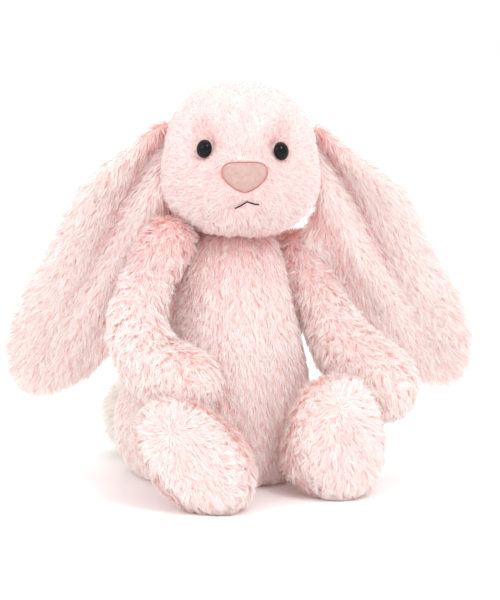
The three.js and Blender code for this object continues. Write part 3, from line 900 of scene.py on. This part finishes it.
def on_face(tree, across, up, lift):
    """The point on the face this far across (towards the rabbit's left) and above the nose's middle."""
    start = NOSE + FORWARD * 0.05 - ACROSS * across + UP * up
    hit = tree.ray_cast(Vector(start), Vector(-FORWARD))[0]
    return np.array(hit) + FORWARD * lift


def nose_edge(angle):
    """The nose's outline at this angle: a shield with rounded shoulders and a blunt point below."""
    half_width, above, below = 0.0111, 0.0058, 0.0090
    across, up = math.cos(angle), math.sin(angle)
    if up >= 0:
        return half_width * math.copysign(abs(across) ** 0.55, across), above * up**0.62
    return half_width * math.copysign(abs(across) ** 1.5, across), -below * abs(up) ** 1.3


def tube(name, path, radius, material, closed=False):
    """A round thread through the points, as a mesh."""
    curve = bpy.data.curves.new(name, "CURVE")
    curve.dimensions = "3D"
    curve.bevel_depth = radius
    curve.bevel_resolution = 3
    curve.use_fill_caps = True
    spline = curve.splines.new("POLY")
    spline.points.add(len(path) - 1)
    for point, place in zip(spline.points, path):
        point.co = (*place, 1)
    spline.use_cyclic_u = closed
    thing = bpy.data.objects.new(name, curve)
    bpy.context.scene.collection.objects.link(thing)
    mesh = evaluated(thing)
    shade_smooth(mesh)
    return new_object(name, mesh, [material])


def build_nose(tree):
    """A crowned velour pad in a shield outline, edged with a thin rose thread."""
    around, rings, thread_points = 56, 9, 96
    crown, edge_drop = 0.0022, 0.0016
    points = [on_face(tree, 0, 0, crown)]
    for ring in range(1, rings + 1):
        share = ring / rings
        lift = crown - edge_drop * share**4
        for k in range(around):
            across, up = nose_edge(2 * math.pi * k / around)
            points.append(on_face(tree, across * share, up * share, lift))
    for k in range(around):
        across, up = nose_edge(2 * math.pi * k / around)
        points.append(on_face(tree, across * 1.02, up * 1.02, -0.0008))
    faces = [(0, 1 + k, 1 + (k + 1) % around) for k in range(around)]
    for ring in range(rings):
        for k in range(around):
            a, b = 1 + ring * around + k, 1 + ring * around + (k + 1) % around
            faces.append((a, a + around, b + around, b))
    pad = mesh_from("nose_velour_pad", points, faces)
    shade_smooth(pad)
    pad = new_object("nose_velour_pad", pad, [NOSE_VELOUR])
    edge = []
    for k in range(thread_points):
        across, up = nose_edge(2 * math.pi * k / thread_points)
        edge.append(on_face(tree, across, up, crown - edge_drop))
    thread = tube("nose_edge_thread", edge, 0.00038, ROSE_THREAD, closed=True)
    for piece, node, finish in (
        (pad, "nose_patch", "nose_velour"),
        (thread, "nose_edge_stitch", "rose_thread"),
    ):
        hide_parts(node)
        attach(piece, "head")


def build_mouth(tree):
    """Two long stitches that meet under the nose."""
    apex, left, right = MOUTH_POINTS
    path = []
    for (from_across, from_up), (to_across, to_up) in ((right, apex), (apex, left)):
        for share in np.linspace(0, 1, 9):
            sag = -0.0003 * math.sin(math.pi * share)
            path.append(on_face(tree, from_across + (to_across - from_across) * share,
                                from_up + (to_up - from_up) * share + sag, 0.0016))
    thread = tube("mouth_thread", path, 0.00036, DARK_THREAD)
    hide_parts("mouth_stitch")
    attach(thread, "head")


def build_face():
    tree = face_surface()
    build_nose(tree)
    build_mouth(tree)
    for side in SIDES:
        build_eye(side)


def drawn_in(node, name, centre, share, material, body):
    """A hidden piece, drawn in towards a centre so that it stays inside the softened cover."""
    points, corners = triangles_of(world_copy(node))
    mesh = mesh_from(name, centre + (points - centre) * share, corners)
    shade_smooth(mesh)
    piece = new_object(name, mesh, [material])
    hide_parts(node)
    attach(piece, body)


def build_small_pieces():
    filling_share, washer_share, bag_share = 0.86, 0.88, 0.88
    for node, name, body in (
        ("neck_thread", "neck_thread_cord", "neck"),
        ("closing_stitch", "closing_stitch_thread", "torso"),
    ):
        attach(smooth_copy(node, name, PINK_THREAD), body)
    dress("care_label", RIBBON)
    drawn_in("pellet_bag", "pellet_bag_cloth", centre_of("pellet_bag"), bag_share, PELLET_CLOTH,
             "torso")
    for body, nodes in frame["record"]["behaviour"]["bodies"].items():
        for node in nodes:
            if node.endswith("_filling"):
                drawn_in(node, f"{node}_core", centre_of(node), filling_share, STUFFING, body)
    for side in SIDES:
        washer = f"eye_washer_{side}"
        drawn_in(washer, f"{washer}_disc", HEAD, washer_share, WASHER, "head")


def dress(node, material):
    """Gives a CAD node its finish by the object, so that its mesh stays as it is."""
    thing = NODES[node]
    if not thing.material_slots:
        thing.data.materials.append(material)
    for place in thing.material_slots:
        place.link = "OBJECT"
        place.material = material


# ---------------------------------------------------------------- studio


def build_studio():
    reach, level = 8.0, -0.0002
    signs = ((-1, -1), (1, -1), (1, 1), (-1, 1))
    corners = [(x * reach, y * reach, level) for x, y in signs]
    floor = new_object("studio_floor", mesh_from("studio_floor", corners, [(0, 1, 2, 3)]), [FLOOR])
    for name, place, size, power, target in (
        ("key_light", (0.8, -1.3, 1.6), 0.65, 12, (0, 0, 0.1)),
        ("fill_light", (-1.3, -1.1, 1.1), 1.2, 6, (0, 0, 0.1)),
        ("top_light", (0.1, 0.3, 2.0), 1.8, 6, (0, 0, 0.05)),
        ("back_light", (0.4, 1.5, 1.2), 1.4, 4, (0, 0, 0.1)),
    ):
        data = bpy.data.lights.new(name, "AREA")
        data.size = size
        data.energy = power
        lamp = bpy.data.objects.new(name, data)
        bpy.context.scene.collection.objects.link(lamp)
        lamp.location = place
        lamp.rotation_euler = (Vector(target) - Vector(place)).to_track_quat("-Z", "Y").to_euler()
    world = bpy.data.worlds.new("studio")
    world.use_nodes = True
    world.node_tree.nodes["Background"].inputs["Color"].default_value = (1, 1, 1, 1)
    world.node_tree.nodes["Background"].inputs["Strength"].default_value = 1.05
    scene = bpy.context.scene
    scene.world = world
    scene.view_settings.view_transform = "Standard"
    scene.cycles.max_bounces = 32
    scene.cycles.diffuse_bounces = 28


def build_camera():
    distance, elevation = 1.2, math.radians(8)
    target = Vector((0.0061, 0.0002, 0.0931))
    data = bpy.data.cameras.new("camera")
    data.lens = 141
    data.sensor_width = 36
    data.clip_start = 0.01
    camera = bpy.data.objects.new("camera", data)
    bpy.context.scene.collection.objects.link(camera)
    camera.location = target + distance * Vector((0, -math.cos(elevation), math.sin(elevation)))
    camera.rotation_euler = (target - camera.location).to_track_quat("-Z", "Y").to_euler()
    bpy.context.scene.camera = camera


# ---------------------------------------------------------------- the whole scene

build_head()
build_torso()
for side_name in SIDES:
    build_arm(side_name)
    build_leg(side_name)
    build_ear(side_name)
build_face()
build_small_pieces()
build_studio()
build_camera()
